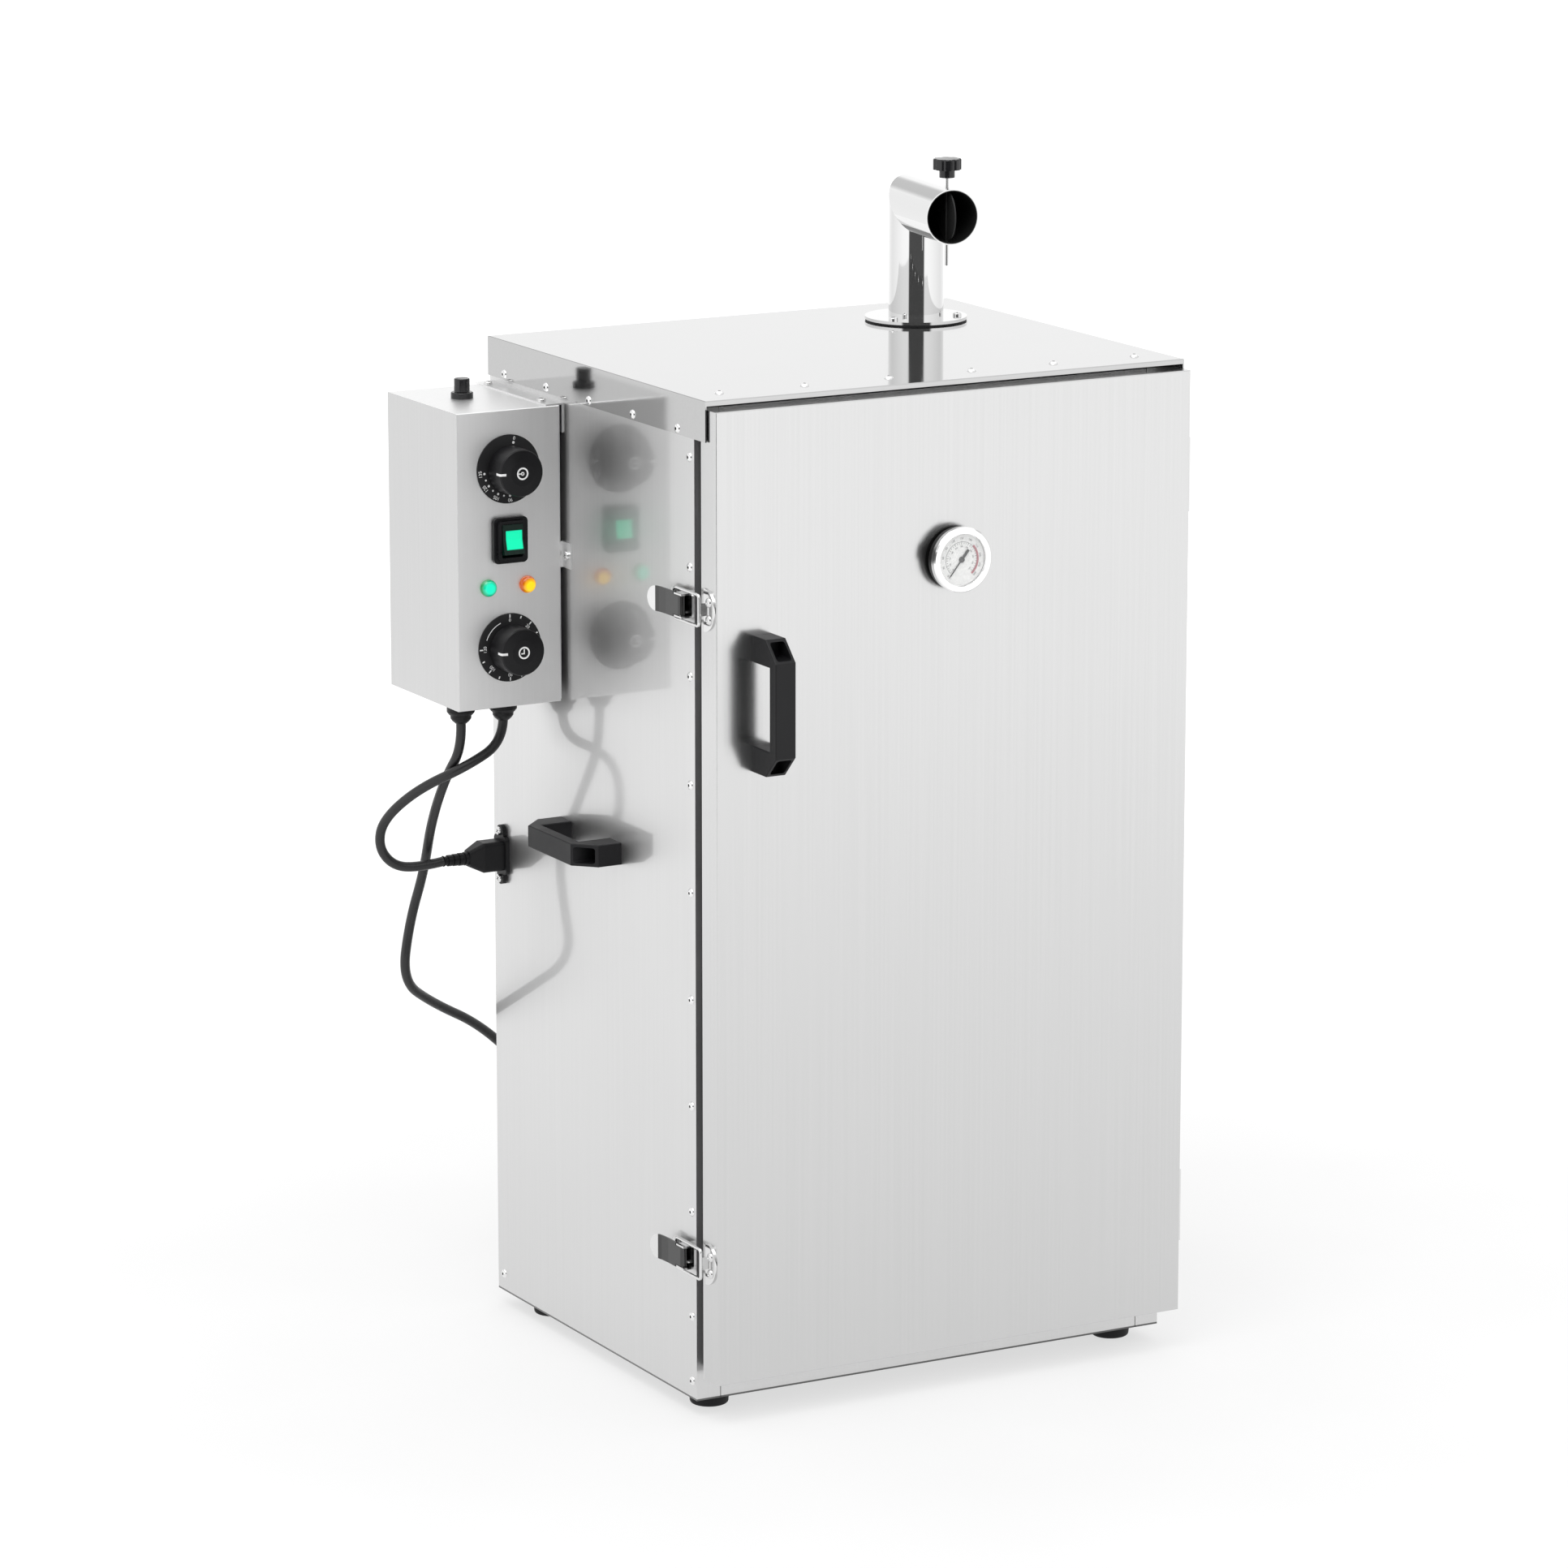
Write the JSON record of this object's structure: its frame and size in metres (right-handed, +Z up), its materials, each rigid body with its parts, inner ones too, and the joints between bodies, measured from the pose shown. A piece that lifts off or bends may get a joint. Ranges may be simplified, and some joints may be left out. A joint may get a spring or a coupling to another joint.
{
  "type": "electric cabinet smoker",
  "caption": "Insulated steel cabinet smoker with a latched hinged door, side control box, flue with damper, loose racks, door thermometer and mains cord.",
  "frame": {"origin": "middle of the whole footprint, on the floor under the feet", "axes": "+Z up, +X towards the hinge side, -Y towards the door's front"},
  "size_m": [0.5799, 0.5467, 0.9595],
  "materials": {
    "satin_steel": "satin brushed sheet",
    "polished_steel": "polished",
    "black_plastic": "fine moulded grain",
    "black_rubber": "matte",
    "mineral_wool": "loose fibre",
    "element_sheath": "heat-stained",
    "bright_rivets": "bright",
    "control_casing": "smooth",
    "green_lens": "translucent, lit",
    "amber_lens": "translucent, lit",
    "cord_rubber": "satin jacket",
    "grey_silicone": "matte",
    "clear_glass": "clear",
    "needle_black": "matte",
    "nickel": "bright nickel plate"
  },
  "bodies": {
    "cabinet": {"left_side_panel": "satin_steel", "right_side_panel": "satin_steel", "back_panel": "satin_steel", "base_pan": "satin_steel", "lid": "satin_steel", "chamber_liner": "satin_steel", "wall_insulation": "mineral_wool", "rack_rails": "satin_steel", "drip_tray": "satin_steel", "chip_tray": "satin_steel", "heating_element": "element_sheath", "rubber_feet": "black_rubber", "cabinet_rivets": "bright_rivets", "small_screws": "bright_rivets", "chimney_pipe": "polished_steel", "chimney_outlet": "polished_steel", "chimney_gasket": "black_rubber", "carry_handle_left": "black_plastic", "carry_handle_right": "black_plastic", "control_box_shell": "satin_steel", "control_box_bracket": "satin_steel", "dial_plates": "black_plastic", "thermostat_body": "control_casing", "timer_body": "control_casing", "switch_housing": "black_plastic", "green_lamp": "green_lens", "amber_lamp": "amber_lens", "fuse_holder": "black_plastic", "cable_glands": "black_rubber", "inlet_socket": "black_plastic", "heater_connector": "cord_rubber", "heater_lead": "cord_rubber", "mains_cord": "cord_rubber", "mains_coil": "cord_rubber", "mains_plug": "cord_rubber", "hinge_cabinet_leaves": "satin_steel", "latch_bases": "nickel", "rack_1": "polished_steel", "rack_2": "polished_steel", "rack_3": "polished_steel"},
    "door": {"door_outer_skin": "satin_steel", "door_inner_skin": "satin_steel", "door_insulation": "mineral_wool", "door_gasket": "grey_silicone", "door_handle": "black_plastic", "thermometer_case": "polished_steel", "thermometer_lens": "clear_glass", "hinge_door_leaves": "satin_steel", "latch_catches": "nickel"},
    "needle": {"thermometer_needle": "needle_black"},
    "lever_upper": {"latch_lever_upper": "nickel"},
    "lever_lower": {"latch_lever_lower": "nickel"},
    "bail_upper": {"latch_bail_upper": "nickel"},
    "bail_lower": {"latch_bail_lower": "nickel"},
    "damper": {"damper": "polished_steel", "damper_knob": "black_plastic"},
    "thermostat_knob": {"thermostat_knob": "black_plastic"},
    "timer_knob": {"timer_knob": "black_plastic"},
    "rocker": {"rocker": "green_lens"},
    "fuse_cap": {"fuse_cap": "black_plastic"}
  },
  "joints": [
    {"name": "door_swing", "type": "hinge", "parent": "cabinet", "child": "door", "pos_m": [0.2495, -0.162, 0.413], "axis": [0, 0, 1], "range_deg": [0, 120]},
    {"name": "needle_turn", "type": "hinge", "parent": "door", "child": "needle", "pos_m": [0.0285, -0.188, 0.68], "axis": [0, 1, 0], "range_deg": [0, 270], "stiffness_Nm_per_rad": 0.002},
    {"name": "damper_turn", "type": "hinge", "parent": "cabinet", "child": "damper", "pos_m": [0.15323, 0.05176, 0.913], "axis": [0, 0, 1], "continuous": true},
    {"name": "thermostat_turn", "type": "hinge", "parent": "cabinet", "child": "thermostat_knob", "pos_m": [-0.2331, 0.073, 0.733], "axis": [0, 1, 0], "range_deg": [-255, 0]},
    {"name": "timer_turn", "type": "hinge", "parent": "cabinet", "child": "timer_knob", "pos_m": [-0.2331, 0.073, 0.5885], "axis": [0, 1, 0], "range_deg": [-270, 45]},
    {"name": "rocker_press", "type": "hinge", "parent": "cabinet", "child": "rocker", "pos_m": [-0.233, 0.0794, 0.676], "axis": [1, 0, 0], "range_deg": [0, 16]},
    {"name": "fuse_cap_turn", "type": "hinge", "parent": "cabinet", "child": "fuse_cap", "pos_m": [-0.239, 0.148, 0.788], "axis": [0, 0, 1], "range_deg": [0, 90]},
    {"name": "lever_upper_lift", "type": "hinge", "parent": "cabinet", "child": "lever_upper", "pos_m": [-0.1895, -0.132, 0.655], "axis": [0, 0, 1], "range_deg": [0, 110]},
    {"name": "bail_upper_swing", "type": "hinge", "parent": "lever_upper", "child": "bail_upper", "pos_m": [-0.1885, -0.119, 0.655], "axis": [0, 0, 1], "range_deg": [-110, 0]},
    {"name": "lever_lower_lift", "type": "hinge", "parent": "cabinet", "child": "lever_lower", "pos_m": [-0.1895, -0.132, 0.131], "axis": [0, 0, 1], "range_deg": [0, 110]},
    {"name": "bail_lower_swing", "type": "hinge", "parent": "lever_lower", "child": "bail_lower", "pos_m": [-0.1885, -0.119, 0.131], "axis": [0, 0, 1], "range_deg": [-110, 0]}
  ],
  "couplings": [
    {"joint": "bail_upper_swing", "follows": "lever_upper_lift", "ratio": -1},
    {"joint": "bail_lower_swing", "follows": "lever_lower_lift", "ratio": -1}
  ]
}
